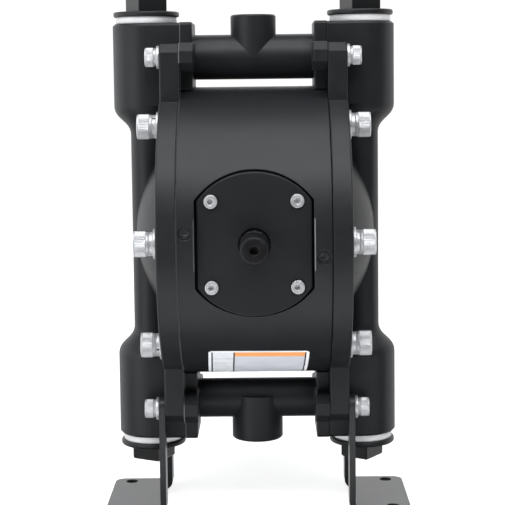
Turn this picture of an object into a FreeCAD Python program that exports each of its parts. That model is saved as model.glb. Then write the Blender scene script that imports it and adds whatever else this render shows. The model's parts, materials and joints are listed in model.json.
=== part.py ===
import FreeCAD, Part
import math
import os
from FreeCAD import Vector

# Air-operated double diaphragm pump. Millimetres, +Z up, the front faces -Y.
# The origin is the middle of the four foot holes, on the floor.

# Overall layout
DRUM_R = 77.5               # centre housing
DRUM_HALF = 39.0            # half its length along X
DRUM_EDGE = 0.5             # chamfer on its two rims
LINE_GAP = 16.0             # from the drum out to the manifold axes
GROUND_CLEAR = 57.5         # inlet manifold axis above the floor

# Clearances
SEAT_GAP = 0.1              # between pieces that are pressed or screwed together
RUN_GAP = 0.05              # between a sliding rod and its bush
BALL_GAP = 0.2              # between a ball and what stops it
GUIDE_GAP = 0.4             # between a ball and the ribs that guide it

# Fluid caps
CAP_LIP = 1.2               # the flange disc stands this far proud of the drum
CAP_T = 10.0                # flange thickness
LEDGE_CUT = 8.7             # depth of the flats on the flange disc
TAB_MARGIN = 7.0            # edge of the upright tabs beyond the manifold screws
TAB_CHAMFER = 4.4           # also on the ears of the manifolds
TAB_STEP = 0.7              # the tabs are this much lower than the ears
CAP_ROUND = 1.0             # rounded outer edge of the flange and the tabs
DOME_R = 66.4               # outside of the dome
DOME_RISE = 15.6            # dome apex beyond the flange
DOME_WALL = 4.0
RISER_R = 9.5               # upright tube outside
RISER_WALL = 3.5
CHAMBER_R = 18.2            # valve chamber outside
CHAMBER_WALL = 4.2
CHAMBER_BACK = 0.4          # the valve chambers start this far outside the drum's end
CHAMBER_RISE = 18.2         # chamber mouth beyond the manifold axis
CHAMBER_EDGE = 1.2          # chamfer on the chamber mouth and the manifolds' end plates
SHOULDER_START = 41.5       # the riser starts to widen this far short of the manifold axis
SHOULDER_END = 25.5         # and is as wide as the chamber this far short of it
BORE_DROP = 27.5            # bottom of the valve bore, short of the manifold axis

# Diaphragms and shaft
STROKE_HALF = 7.0           # the shaft moves this far each way
SHAFT_R = 6.0
STROKE_SPARE = 1.0          # left between plate and floor at the end of a stroke
RIM_WALL = 1.4              # between the diaphragm's rim and the screws
RIM_LAND = 11.0             # width of the diaphragm's clamped rim
AIR_CHAMBER_SLOPE = 5.0     # the air chamber narrows this much towards its floor
DIAPHRAGM_T = 3.0
PLATE_R = 24.0              # plates that clamp the diaphragm
AIR_PLATE_T = 4.0
FLUID_PLATE_T = 6.0
FLUID_PLATE_RIM = 2.5       # thickness of its rim
PLATE_EDGE = 1.0
FLUID_NUT_R = 9.0
FLUID_NUT_T = 3.5
FLUID_NUT_TAPER = 1.5
STUD_R = 4.0                # threaded ends of the shaft
BUSH_R = 8.5
BUSH_LENGTH = 9.0
SEAL_R = 9.5
SEAL_T = 4.0
SEAL_RECESS = 1.0           # seal set back from the air chamber floor
CONVOLUTION = 6.0           # depth of the diaphragm's roll
ROLL_LIP = 1.8              # the roll is this much narrower on its fluid side, at each edge

# Pilot rod and its travel
PILOT_R = 2.5
PILOT_DROP = 18.0           # below the shaft
PILOT_TRAVEL = 4.55
PILOT_SPARE = 0.45          # it still stands out this far at its limit
PILOT_EDGE = 1.0

# Valve balls, seats and cages
BALL_R = 7.0
BALL_LIFT = 3.5
SEAT_BORE_R = 5.0
SEAT_CONE_R = 6.2           # mouth of the 45 degree seat
OUTLET_SEAT_T = 5.0
INLET_SEAT_T = 4.5
CAGE_WALL = 2.6
CAGE_WINDOW_R = 5.6
RIB_T = 2.4
STOP_T = 1.6                # bar that stops the ball

# Chamber plugs
PLUG_RING_INSET = 1.8       # the ring's rim inside the chamber's
PLUG_RING_T = 3.5
PLUG_FLANGE_INSET = 0.5
PLUG_FLANGE_T = 2.9
PLUG_RIM = 1.0              # rounded rim of the flange
PLUG_HEAD = 16.5            # side of the square head
PLUG_HEAD_T = 8.6
PLUG_HEAD_EDGE = 0.7
PLUG_THREAD = 7.0           # length inside the chamber
# The square heads' turns about their axes, seen from above
PLUG_TURNS = {"right_outlet": 21.0, "left_outlet": 30.0, "right_inlet": -35.0, "left_inlet": -29.0}

# Manifolds
OUTLET_TUBE_R = 12.05
OUTLET_BOSS_R = 12.2
OUTLET_PORT_RISE = 22.5     # port face beyond the manifold axis
OUTLET_BOSS_SINK = 1.2      # the boss starts this far short of the manifold axis
OUTLET_THREAD_R = 7.6
INLET_TUBE_R = 10.7
INLET_BOSS_R = 13.9
INLET_PORT_RISE = 22.0
INLET_BOSS_SINK = 2.7
INLET_THREAD_R = 9.3
PORT_DEPTH = 15.0
FLOW_R = 6.0                # bore of the manifolds and the ports in the caps
END_PLATE_T = 6.8
EAR_T = 7.8
END_PLATE_RISE = 18.5       # its edge beyond the manifold axis
EAR_HEIGHT = 15.0
END_ROUND = 0.8             # rounded inner edge of the end plates
JOINT_EDGE = 0.3            # chamfer where a manifold or the drum meets a fluid cap
DRUM_CLEAR = 0.5            # between the end plates and the drum
BOSS_EDGE = 0.8             # chamfers on the port bosses
ORING_R = 9.2
ORING_WIDTH = 2.2
ORING_DEPTH = 1.6

# Front cover and air valve
COVER_R = 36.1
COVER_MARGIN = 10.2         # its flat sides inside the ends of the drum
COVER_SINK = 4.6            # cover face behind the front of the drum
COVER_EDGE = 0.5
COVER_GAP = 0.9             # groove round the cover
POCKET_DEPTH = 11.5
GASKET_T = 0.8
GASKET_INSET = 0.5          # gasket rim inside the cover's
COVER_SCREW_INSET = 5.7     # screw centres inside the cover's rim
VALVE_W = 38.0              # air valve block
VALVE_H = 34.0
VALVE_DEPTH = 30.0
SPOOL_DEPTH = 16.0          # spool axis behind the pocket's floor
AIR_FEED_CLEAR = 3.0        # feed drilling above the shaft bushes
SPOOL_R = 6.0
SPOOL_WAIST_R = 4.0
SPOOL_TRAVEL = 3.5
SPOOL_SPARE = 0.5           # left to the wall at its limit
AIR_WAY_R = 2.5
AIR_WAY_INSET = 4.0         # air way centres inside the ends of the valve block
AIR_WAY_DROP = 6.0          # depth of the turn behind the valve block
MUFFLER_R = 6.9
MUFFLER_REACH = 26.6        # in front of the cover
MUFFLER_ROUND = 1.2
MUFFLER_HOLE_R = 2.0
MUFFLER_HOLE_DEPTH = 3.0
MUFFLER_THREAD_R = 4.8
MUFFLER_ROOM = 1.1          # hole in the cover round the muffler
MUFFLER_FACETS = 12
MUFFLER_COLLAR = 6.5        # faceted length next to the cover
MUFFLER_COLLAR_RISE = 0.5
PILOT_PLUG_INSET = 4.5      # inside the ends of the drum
PILOT_PLUG_Z = 6.4
PILOT_PLUG_R = 2.6
PILOT_PLUG_LENGTH = 2.6
PILOT_PLUG_HEX = 2.5
PILOT_PLUG_SINK = 1.5       # behind the drum's front line
PILOT_KEY_DEPTH = 1.2
PILOT_RECESS_R = 3.7
PILOT_RECESS_DEPTH = 1.2
PILOT_HOLE_DEPTH = 4.2

# Air inlet at the back
INLET_BUSH_R = 9.0
INLET_BUSH_HEX = 22.0       # across flats
INLET_BUSH_HEX_T = 6.0
INLET_BUSH_DEPTH = 16.0
AIR_PORT_R = 5.7
SPOT_FACE_DEPTH = 2.0
SPOT_FACE_RIM = 1.5         # spot face beyond the bush's corners

# Fasteners
M8_INSET = 11.1             # screw circle inside the drum's rim
M8_HEAD_R = 6.5
M8_HEAD_T = 8.0
M8_R = 4.0
M8_HEX = 6.0
M8_GRIP = 7.8               # thread in the drum
LOCK_WASHER_T = 2.0
LOCK_WASHER_R = 6.3
M8_WASHER_T = 1.6
M8_WASHER_R = 7.65
M6_HEAD_R = 5.0
M6_HEAD_T = 6.0
M6_R = 3.0
M6_HEX = 5.0
M6_TIP_SPARE = 0.8          # the screws end this far short of the ears' inner face
M6_WASHER_T = 1.6
M6_WASHER_R = 6.0
M4_HEAD_R = 3.5
M4_HEAD_T = 4.0
M4_R = 2.0
M4_HEX = 3.0
M4_SINK = 2.6               # counterbore in the cover
M4_GRIP = 6.0
HOLE_GAP = 0.3              # round a screw's shank
WASHER_GAP = 0.2
KEY_DEPTH = 0.5             # depth of a hexagon socket, as a share of the head

# Foot brackets
SHEET_T = 3.2
LEG_WIDTH = 12.0
LEG_GAP = 0.8               # between the legs and the valve chambers
LEG_TOP = 7.0               # above the manifold screws
FOOT_LENGTH = 33.0          # from the flange to the outer edge
FOOT_CORNER_R = 5.5
BEND_R = 1.5                # inside the bend
FOOT_HOLE_R = 3.3
FOOT_HOLE_INSET_X = 9.4     # hole centres inside the outer edge
FOOT_HOLE_INSET_Y = 6.0     # and inside the ends

# Places that several pieces share: x from the middle of the pump, heights and radii from the drum axis
LINE_H = DRUM_R + LINE_GAP
AXIS_Z = GROUND_CLEAR + LINE_H
CAP_FACE = DRUM_HALF + CAP_T
CAP_R = DRUM_R + CAP_LIP
LEDGE_H = CAP_R - LEDGE_CUT
TAB_H = LINE_H + EAR_HEIGHT / 2 - TAB_STEP
DOME_REACH = CAP_FACE + DOME_RISE
VALVE_X = DRUM_HALF + CHAMBER_BACK + CHAMBER_R
RISER_BORE_R = RISER_R - RISER_WALL
CHAMBER_H = LINE_H + CHAMBER_RISE
SHOULDER_LOW = LINE_H - SHOULDER_START
SHOULDER_HIGH = LINE_H - SHOULDER_END
BORE_R = CHAMBER_R - CHAMBER_WALL
BORE_FLOOR_H = LINE_H - BORE_DROP
PLUG_RING_R = CHAMBER_R - PLUG_RING_INSET
PLUG_FLANGE_R = CHAMBER_R - PLUG_FLANGE_INSET
PLUG_INNER_H = CHAMBER_H - PLUG_THREAD
M8_CIRCLE_R = DRUM_R - M8_INSET
M6_Y = CHAMBER_R + LEG_GAP + LEG_WIDTH / 2
TAB_HALF = M6_Y + TAB_MARGIN
FOOT_HALF = M6_Y + LEG_WIDTH / 2
FOOT_REACH = CAP_FACE + FOOT_LENGTH
SLOT_REACH = CAP_FACE + SHEET_T + BEND_R
FOOT_HOLE_X = FOOT_REACH - FOOT_HOLE_INSET_X
FOOT_HOLE_Y = FOOT_HALF - FOOT_HOLE_INSET_Y
DIAPHRAGM_R = M8_CIRCLE_R - M8_R - RIM_WALL
AIR_CHAMBER_R = DIAPHRAGM_R - RIM_LAND
PLATE_BACK = DRUM_HALF - DIAPHRAGM_T - AIR_PLATE_T
AIR_FLOOR_X = PLATE_BACK - STROKE_HALF - STROKE_SPARE
PILOT_HALF = AIR_FLOOR_X + PILOT_TRAVEL + PILOT_SPARE
COVER_FRONT = DRUM_R - COVER_SINK
COVER_FLAT = DRUM_HALF - COVER_MARGIN
COVER_HOLE_R = MUFFLER_R + MUFFLER_ROOM
COVER_SCREW_HALF = (COVER_R - COVER_SCREW_INSET) * math.sqrt(0.5)
POCKET_FLOOR = DRUM_R - POCKET_DEPTH
VALVE_BACK = POCKET_FLOOR - VALVE_DEPTH
VALVE_LINE = POCKET_FLOOR - SPOOL_DEPTH
SPOOL_HALF = VALVE_W / 2 - SPOOL_TRAVEL - SPOOL_SPARE
AIR_WAY_X = VALVE_W / 2 - AIR_WAY_INSET
AIR_FEED_H = BUSH_R + AIR_WAY_R + AIR_FEED_CLEAR
MUFFLER_TIP = COVER_FRONT + MUFFLER_REACH
PILOT_PLUG_X = DRUM_HALF - PILOT_PLUG_INSET
AIR_FACE = DRUM_R - SPOT_FACE_DEPTH
HEX_TO_CORNER = 1 / math.sqrt(3)
X = Vector(1, 0, 0)
Y = Vector(0, 1, 0)
Z = Vector(0, 0, 1)


def at(x, y, height):
    """A point whose height is counted from the drum axis."""
    return Vector(x, y, AXIS_Z + height)


def rod(radius, start, direction, length):
    return Part.makeCylinder(radius, length, start, direction)


def rod_x(radius, x0, x1, y=0.0, height=0.0):
    return rod(radius, at(x0, y, height), X, x1 - x0)


def rod_z(radius, low, high, x=0.0, y=0.0):
    return rod(radius, at(x, y, low), Z, high - low)


def ring_z(outer, inner, low, high, x):
    return rod_z(outer, low, high, x).cut(rod_z(inner, low, high, x))


def block(x0, x1, y0, y1, low, high):
    return Part.makeBox(x1 - x0, y1 - y0, high - low, at(x0, y0, low))


def hexagon(across_flats, start, direction, length):
    """A hexagonal prism, for sockets and nuts."""
    corner = across_flats * HEX_TO_CORNER
    return prism(6, corner, start, direction, length)


def prism(sides, corner, start, direction, length):
    frame = FreeCAD.Rotation(Z, direction)
    points = []
    for step in range(sides + 1):
        angle = 2 * math.pi * step / sides
        flat = Vector(corner * math.cos(angle), corner * math.sin(angle), 0)
        points.append(start + frame.multVec(flat))
    return Part.Face(Part.makePolygon(points)).extrude(direction * length)


def outline_x(points, x0, x1):
    """A prism along X from (y, height) points."""
    corners = [at(x0, y, height) for y, height in points]
    corners.append(corners[0])
    return Part.Face(Part.makePolygon(corners)).extrude(X * (x1 - x0))


def spin_x(points):
    """A body turned about the drum axis from (x, radius) points."""
    corners = [at(x, 0, radius) for x, radius in points]
    corners.append(corners[0])
    return Part.Face(Part.makePolygon(corners)).revolve(at(0, 0, 0), X, 360)


def chamfered(half_width, low, high, chamfer):
    """The (y, height) outline of a block with its two upper corners cut off."""
    return [
        (-half_width, low),
        (-half_width, high - chamfer),
        (-half_width + chamfer, high),
        (half_width - chamfer, high),
        (half_width, high - chamfer),
        (half_width, low),
    ]


def fused(shapes):
    first = shapes[0]
    return first.fuse(shapes[1:]).removeSplitter()


def to_left(shape):
    return shape.mirror(Vector(0, 0, 0), X)


def to_bottom(shape):
    return shape.mirror(at(0, 0, 0), Z)


def edges_in_plane(shape, x):
    """The edges that lie in the plane with this x."""
    return [edge for edge in shape.Edges if edge.BoundBox.XMin > x - 0.01 and edge.BoundBox.XMax < x + 0.01]


def save(name, *solids):
    """Write one piece, or a group of like pieces, as parts/NAME.step."""
    shape = solids[0] if len(solids) == 1 else Part.makeCompound(list(solids))
    shape.exportStep("parts/" + name + ".step")
    print(name, "%.0f mm3" % shape.Volume, "valid" if shape.isValid() else "NOT VALID")


def m8_places():
    """(y, height) of the six screws on each fluid cap."""
    places = []
    for step in range(6):
        angle = math.radians(60 * step)
        places.append((-M8_CIRCLE_R * math.cos(angle), M8_CIRCLE_R * math.sin(angle)))
    return places


def m6_places():
    """(y, height) of the four manifold screws on each side."""
    return [(y, height) for height in (LINE_H, -LINE_H) for y in (-M6_Y, M6_Y)]


def cover_screw_places():
    half = COVER_SCREW_HALF
    return [(x, height) for x in (-half, half) for height in (-half, half)]


def cover_outline(extra, front, back):
    """The cover's round form with two flats, as a solid along Y, grown by extra."""
    disc = rod(COVER_R + extra, at(0, -front, 0), Y, front - back)
    flat = COVER_FLAT + extra
    reach = COVER_R + 2 * extra + 1
    return disc.common(block(-flat, flat, -front, -back, -reach, reach))


# Fluid caps

def chamber_profile():
    """Half section of the riser and the valve chamber, turned about the chamber axis."""
    middle = (SHOULDER_LOW + SHOULDER_HIGH) / 2
    curve = Part.BezierCurve()
    curve.setPoles([
        at(VALVE_X + RISER_R, 0, SHOULDER_LOW),
        at(VALVE_X + RISER_R, 0, middle),
        at(VALVE_X + CHAMBER_R, 0, middle),
        at(VALVE_X + CHAMBER_R, 0, SHOULDER_HIGH),
    ])
    straight = Part.makePolygon([
        at(VALVE_X + CHAMBER_R, 0, SHOULDER_HIGH),
        at(VALVE_X + CHAMBER_R, 0, CHAMBER_H - CHAMBER_EDGE),
        at(VALVE_X + CHAMBER_R - CHAMBER_EDGE, 0, CHAMBER_H),
        at(VALVE_X, 0, CHAMBER_H),
        at(VALVE_X, 0, 0),
        at(VALVE_X + RISER_R, 0, 0),
        at(VALVE_X + RISER_R, 0, SHOULDER_LOW),
    ])
    return Part.Wire([curve.toShape()] + straight.Edges)


def chamber_body():
    """Riser and valve chamber; the chamber is flat-sided from its axis to the manifold."""
    turned = Part.Face(chamber_profile()).revolve(at(VALVE_X, 0, 0), Z, 360)
    side = chamfered(CHAMBER_R, SHOULDER_HIGH, CHAMBER_H, CHAMBER_EDGE)
    return turned.fuse(outline_x(side, DRUM_HALF, VALVE_X))


def cap_flange():
    disc = rod_x(CAP_R, DRUM_HALF, CAP_FACE)
    flats = block(DRUM_HALF, CAP_FACE, -CAP_R, CAP_R, -LEDGE_H, LEDGE_H)
    tab = outline_x(chamfered(TAB_HALF, 0, TAB_H, TAB_CHAMFER), DRUM_HALF, CAP_FACE)
    plate = fused([disc.common(flats), tab, to_bottom(tab)])
    plate = plate.makeFillet(CAP_ROUND, edges_in_plane(plate, CAP_FACE))
    return plate.makeChamfer(JOINT_EDGE, edges_in_plane(plate, DRUM_HALF))


def dome(radius, start):
    """The part of a ball beyond the plane x = start; all domes share one centre."""
    centre = at(DOME_REACH - DOME_R, 0, 0)
    ball = Part.makeSphere(radius, centre)
    return ball.common(block(start, DOME_REACH + 1, -DOME_R, DOME_R, -DOME_R, DOME_R))


def cap_cavity():
    upper = rod_z(BORE_R, BORE_FLOOR_H, CHAMBER_H + 1, VALVE_X)
    port = rod_x(FLOW_R, DRUM_HALF - 1, VALVE_X, 0, LINE_H)
    return [
        dome(DOME_R - DOME_WALL, DRUM_HALF - 1),
        rod_z(RISER_BORE_R, -BORE_FLOOR_H - 1, BORE_FLOOR_H + 1, VALVE_X),
        upper,
        to_bottom(upper),
        port,
        to_bottom(port),
    ]


def cap_screw_holes():
    holes = []
    for y, height in m8_places():
        holes.append(rod_x(M8_R + HOLE_GAP, DRUM_HALF - 1, CAP_FACE + 1, y, height))
    for y, height in m6_places():
        holes.append(rod_x(M6_R + HOLE_GAP, DRUM_HALF - 1, CAP_FACE + 1, y, height))
    return holes


def fluid_cap():
    upper = chamber_body()
    outside = [cap_flange(), dome(DOME_R, CAP_FACE - 1), upper, to_bottom(upper)]
    return fused(outside).cut(fused(cap_cavity())).cut(cap_screw_holes())


# Centre housing

def air_chamber():
    """Recess behind one diaphragm, with the seat for the diaphragm's rim."""
    rim_x = DRUM_HALF - DIAPHRAGM_T
    return spin_x([
        (AIR_FLOOR_X, 0),
        (AIR_FLOOR_X, AIR_CHAMBER_R - AIR_CHAMBER_SLOPE),
        (rim_x, AIR_CHAMBER_R),
        (rim_x, DIAPHRAGM_R + SEAT_GAP),
        (DRUM_HALF + 1, DIAPHRAGM_R + SEAT_GAP),
        (DRUM_HALF + 1, 0),
    ])


def shaft_passage():
    """Bore for the shaft with wider seats for one bush and one seal each side."""
    bore = [rod_x(SHAFT_R + HOLE_GAP, -AIR_FLOOR_X - 1, AIR_FLOOR_X + 1)]
    seal_end = AIR_FLOOR_X - SEAL_RECESS
    bush_end = seal_end - SEAL_T
    for flip in (False, True):
        seal_seat = rod_x(SEAL_R, bush_end, AIR_FLOOR_X + 1)
        bush_seat = rod_x(BUSH_R, bush_end - BUSH_LENGTH, bush_end + 1)
        for seat in (seal_seat, bush_seat):
            bore.append(to_left(seat) if flip else seat)
    return bore


def air_ways():
    """Drillings from the air valve to the two air chambers, and from the air inlet."""
    ways = []
    turn_y = AIR_WAY_DROP - VALVE_BACK
    for side in (-1, 1):
        drop = rod(AIR_WAY_R, at(side * AIR_WAY_X, -VALVE_BACK - 1, 0), Y, AIR_WAY_DROP + 1)
        across = rod(AIR_WAY_R, at(side * AIR_WAY_X, turn_y, 0), X * side, AIR_FLOOR_X - AIR_WAY_X + 1)
        ways.extend([drop, across])
    behind = AIR_FACE - INLET_BUSH_DEPTH
    forward = rod(AIR_WAY_R, at(0, -VALVE_BACK - 1, AIR_FEED_H), Y, behind / 2 + VALVE_BACK + 1)
    drop = rod(AIR_WAY_R, at(0, behind / 2, 0), Z, AIR_FEED_H)
    inlet = rod(AIR_WAY_R, at(0, behind / 2, 0), Y, behind / 2 + 1)
    return ways + [forward, drop, inlet]


def housing_screw_holes():
    depth = M8_GRIP + HOLE_GAP
    holes = []
    for y, height in m8_places():
        hole = rod_x(M8_R, DRUM_HALF - depth, DRUM_HALF + 1, y, height)
        holes.extend([hole, to_left(hole)])
    for x, height in cover_screw_places():
        holes.append(rod(M4_R, at(x, -POCKET_FLOOR - 1, height), Y, M4_GRIP + 1 + HOLE_GAP))
    return holes


def pilot_recesses():
    recesses = []
    for x, height in ((-PILOT_PLUG_X, PILOT_PLUG_Z), (PILOT_PLUG_X, -PILOT_PLUG_Z)):
        recesses.append(rod(PILOT_RECESS_R, at(x, -DRUM_R - 1, height), Y, PILOT_RECESS_DEPTH + 1))
        recesses.append(rod(PILOT_PLUG_R, at(x, -DRUM_R, height), Y, PILOT_HOLE_DEPTH))
    return recesses


def centre_housing():
    drum = rod_x(DRUM_R, -DRUM_HALF, DRUM_HALF)
    drum = drum.makeChamfer(DRUM_EDGE, edges_in_plane(drum, DRUM_HALF) + edges_in_plane(drum, -DRUM_HALF))
    chamber = air_chamber()
    half_w = VALVE_W / 2 + SEAT_GAP
    half_h = VALVE_H / 2 + SEAT_GAP
    cuts = [
        chamber,
        to_left(chamber),
        cover_outline(COVER_GAP, DRUM_R + 1, POCKET_FLOOR),
        block(-half_w, half_w, -POCKET_FLOOR - 1, -VALVE_BACK, -half_h, half_h),
        rod_x(PILOT_R + RUN_GAP, -AIR_FLOOR_X - 1, AIR_FLOOR_X + 1, 0, -PILOT_DROP),
        rod(INLET_BUSH_HEX * HEX_TO_CORNER + SPOT_FACE_RIM, at(0, AIR_FACE, 0), Y, DRUM_R),
        rod(INLET_BUSH_R, at(0, AIR_FACE - INLET_BUSH_DEPTH, 0), Y, DRUM_R),
    ]
    cuts += shaft_passage() + air_ways() + housing_screw_holes() + pilot_recesses()
    return drum.cut(cuts)


# Diaphragms, plates and shaft

def diaphragm():
    """Flat rim and centre with one rolled convolution between them."""
    back = DRUM_HALF - DIAPHRAGM_T
    front = DRUM_HALF
    roll_in = PLATE_R + 1
    roll_out = AIR_CHAMBER_R
    roll_mid = (roll_in + roll_out) / 2
    back_arc = Part.Arc(at(back, 0, roll_in), at(back - CONVOLUTION, 0, roll_mid), at(back, 0, roll_out))
    front_arc = Part.Arc(
        at(front, 0, roll_out - ROLL_LIP),
        at(front - CONVOLUTION, 0, roll_mid),
        at(front, 0, roll_in + ROLL_LIP),
    )
    hole = STUD_R + SEAT_GAP
    inner = Part.makePolygon([
        at(front, 0, roll_in + ROLL_LIP),
        at(front, 0, hole),
        at(back, 0, hole),
        at(back, 0, roll_in),
    ])
    outer = Part.makePolygon([
        at(back, 0, roll_out),
        at(back, 0, DIAPHRAGM_R),
        at(front, 0, DIAPHRAGM_R),
        at(front, 0, roll_out - ROLL_LIP),
    ])
    edges = inner.Edges + [back_arc.toShape()] + outer.Edges + [front_arc.toShape()]
    return Part.Face(Part.Wire(edges)).revolve(at(0, 0, 0), X, 360)


def air_plate():
    front = PLATE_BACK + AIR_PLATE_T
    plate = rod_x(PLATE_R, PLATE_BACK, front)
    return plate.cut(rod_x(STUD_R + SEAT_GAP, PLATE_BACK - 1, front + 1))


def fluid_plate():
    """Domed plate whose boss caps the threaded end of the shaft."""
    end = DRUM_HALF + FLUID_PLATE_T
    plate = spin_x([
        (DRUM_HALF, 0),
        (DRUM_HALF, PLATE_R - PLATE_EDGE),
        (DRUM_HALF + PLATE_EDGE, PLATE_R),
        (DRUM_HALF + FLUID_PLATE_RIM, PLATE_R),
        (end, PLATE_R / 2),
        (end, FLUID_NUT_R),
        (end + FLUID_NUT_T, FLUID_NUT_R - FLUID_NUT_TAPER),
        (end + FLUID_NUT_T, 0),
    ])
    return plate.cut(rod_x(STUD_R + SEAT_GAP, DRUM_HALF - 1, end + SEAT_GAP))


def diaphragm_shaft():
    end = DRUM_HALF + FLUID_PLATE_T
    return fused([rod_x(SHAFT_R, -PLATE_BACK, PLATE_BACK), rod_x(STUD_R, -end, end)])


def pilot_rod():
    body = rod_x(PILOT_R, -PILOT_HALF, PILOT_HALF, 0, -PILOT_DROP)
    return body.makeChamfer(PILOT_EDGE, [edge for edge in body.Edges if edge.Closed])


def shaft_bush():
    end = AIR_FLOOR_X - SEAL_RECESS - SEAL_T
    start = end - BUSH_LENGTH
    return rod_x(BUSH_R - SEAT_GAP, start, end).cut(rod_x(SHAFT_R + RUN_GAP, start - 1, end + 1))


def shaft_seal():
    end = AIR_FLOOR_X - SEAL_RECESS
    start = end - SEAL_T
    return rod_x(SEAL_R - SEAT_GAP, start, end).cut(rod_x(SHAFT_R + RUN_GAP, start - 1, end + 1))


# Valve balls, seats and cages. Heights are from the drum axis.

BALL_ABOVE_SEAT = math.sqrt(2) * (BALL_R + BALL_GAP) - SEAT_CONE_R
OUTLET_SEAT_TOP = BORE_FLOOR_H + OUTLET_SEAT_T
OUTLET_BALL_H = OUTLET_SEAT_TOP + BALL_ABOVE_SEAT
INLET_BALL_H = -(BORE_FLOOR_H + STOP_T + BALL_GAP + BALL_R + BALL_LIFT)
INLET_SEAT_TOP = INLET_BALL_H - BALL_ABOVE_SEAT
INLET_SEAT_BASE = INLET_SEAT_TOP - INLET_SEAT_T
SLEEVE_R = BORE_R - SEAT_GAP
SLEEVE_BORE_R = SLEEVE_R - CAGE_WALL


def valve_ball(height):
    return Part.makeSphere(BALL_R, at(VALVE_X, 0, height))


def valve_seat(top, thickness):
    """Ring with a 45 degree conical mouth for the ball."""
    cone_depth = SEAT_CONE_R - SEAT_BORE_R
    body = ring_z(SLEEVE_R, SEAT_BORE_R, top - thickness, top, VALVE_X)
    mouth = Part.makeCone(SEAT_BORE_R, SEAT_CONE_R, cone_depth, at(VALVE_X, 0, top - cone_depth), Z)
    return body.cut(mouth)


def ball_stop(low, high, stop_low):
    """Sleeve with four guide ribs and a cross bar that stops the ball."""
    sleeve = ring_z(SLEEVE_R, SLEEVE_BORE_R, low, high, VALVE_X)
    reach = SLEEVE_BORE_R + CAGE_WALL / 2
    half = RIB_T / 2
    rib_high = stop_low + STOP_T
    across = block(VALVE_X - reach, VALVE_X + reach, -half, half, low, rib_high)
    along = block(VALVE_X - half, VALVE_X + half, -reach, reach, low, rib_high)
    room = rod_z(BALL_R + GUIDE_GAP, low - 1, stop_low, VALVE_X)
    return fused([sleeve, across.fuse(along).cut(room)])


def side_windows():
    """Windows of the sleeves at the height of the manifold."""
    reach = BORE_R + 1
    return [
        rod(CAGE_WINDOW_R, at(VALVE_X - reach, 0, LINE_H), X, 2 * reach),
        rod(CAGE_WINDOW_R, at(VALVE_X, -reach, LINE_H), Y, 2 * reach),
    ]


def outlet_cage():
    stop_low = OUTLET_BALL_H + BALL_R + BALL_LIFT + BALL_GAP
    return ball_stop(OUTLET_SEAT_TOP, PLUG_INNER_H, stop_low).cut(side_windows())


def inlet_cage():
    stop_low = -(BORE_FLOOR_H + STOP_T)
    return ball_stop(INLET_SEAT_TOP, -BORE_FLOOR_H, stop_low)


def inlet_spacer():
    sleeve = ring_z(SLEEVE_R, SLEEVE_BORE_R, -PLUG_INNER_H, INLET_SEAT_BASE, VALVE_X)
    return sleeve.cut([to_bottom(window) for window in side_windows()])


# Chamber plugs

def plug_seal():
    return ring_z(PLUG_RING_R, BORE_R + SEAT_GAP, CHAMBER_H, CHAMBER_H + PLUG_RING_T, VALVE_X)


def chamber_plug(turn):
    flange_low = CHAMBER_H + PLUG_RING_T
    flange_high = flange_low + PLUG_FLANGE_T
    disc = rod_z(PLUG_FLANGE_R, flange_low, flange_high, VALVE_X)
    disc = disc.makeFillet(PLUG_RIM, [edge for edge in disc.Edges if edge.Closed])
    half = PLUG_HEAD / 2
    head = block(VALVE_X - half, VALVE_X + half, -half, half, flange_high - 1, flange_high + PLUG_HEAD_T)
    top = flange_high + PLUG_HEAD_T + AXIS_Z
    rim = [edge for edge in head.Edges if edge.BoundBox.ZMin > top - 0.01]
    head = head.makeChamfer(PLUG_HEAD_EDGE, rim)
    head.rotate(at(VALVE_X, 0, 0), Z, turn)
    thread = rod_z(BORE_R - SEAT_GAP, PLUG_INNER_H, flange_low + 1, VALVE_X)
    return fused([disc, head, thread])


# Manifolds

def with_mirror(upper):
    """Closes an outline by its own mirror image below the manifold axis."""
    lower = [(y, 2 * LINE_H - height) for y, height in upper]
    return upper[1:-1] + lower[-2:0:-1]


def end_plate():
    """Plate with two screw ears at the +X end of a manifold."""
    middle = chamfered(CHAMBER_R, LINE_H, LINE_H + END_PLATE_RISE, CHAMBER_EDGE)
    ears = chamfered(TAB_HALF, LINE_H, LINE_H + EAR_HEIGHT / 2, TAB_CHAMFER)
    shapes = []
    for outline, thickness in ((middle, END_PLATE_T), (ears, EAR_T)):
        plate = outline_x(with_mirror(outline), DRUM_HALF - thickness, DRUM_HALF)
        shapes.append(plate.makeFillet(END_ROUND, edges_in_plane(plate, DRUM_HALF - thickness)))
    plate = fused(shapes)
    return plate.makeChamfer(JOINT_EDGE, edges_in_plane(plate, DRUM_HALF))


def seal_groove():
    start = DRUM_HALF - ORING_DEPTH
    outer = rod_x(ORING_R + ORING_WIDTH / 2, start, DRUM_HALF + 1, 0, LINE_H)
    return outer.cut(rod_x(ORING_R - ORING_WIDTH / 2, start - 1, DRUM_HALF + 2, 0, LINE_H))


def manifold_seal():
    start = DRUM_HALF - ORING_DEPTH
    half = ORING_WIDTH / 2 - SEAT_GAP
    outer = rod_x(ORING_R + half, start, DRUM_HALF, 0, LINE_H)
    return outer.cut(rod_x(ORING_R - half, start - 1, DRUM_HALF + 1, 0, LINE_H))


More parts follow.
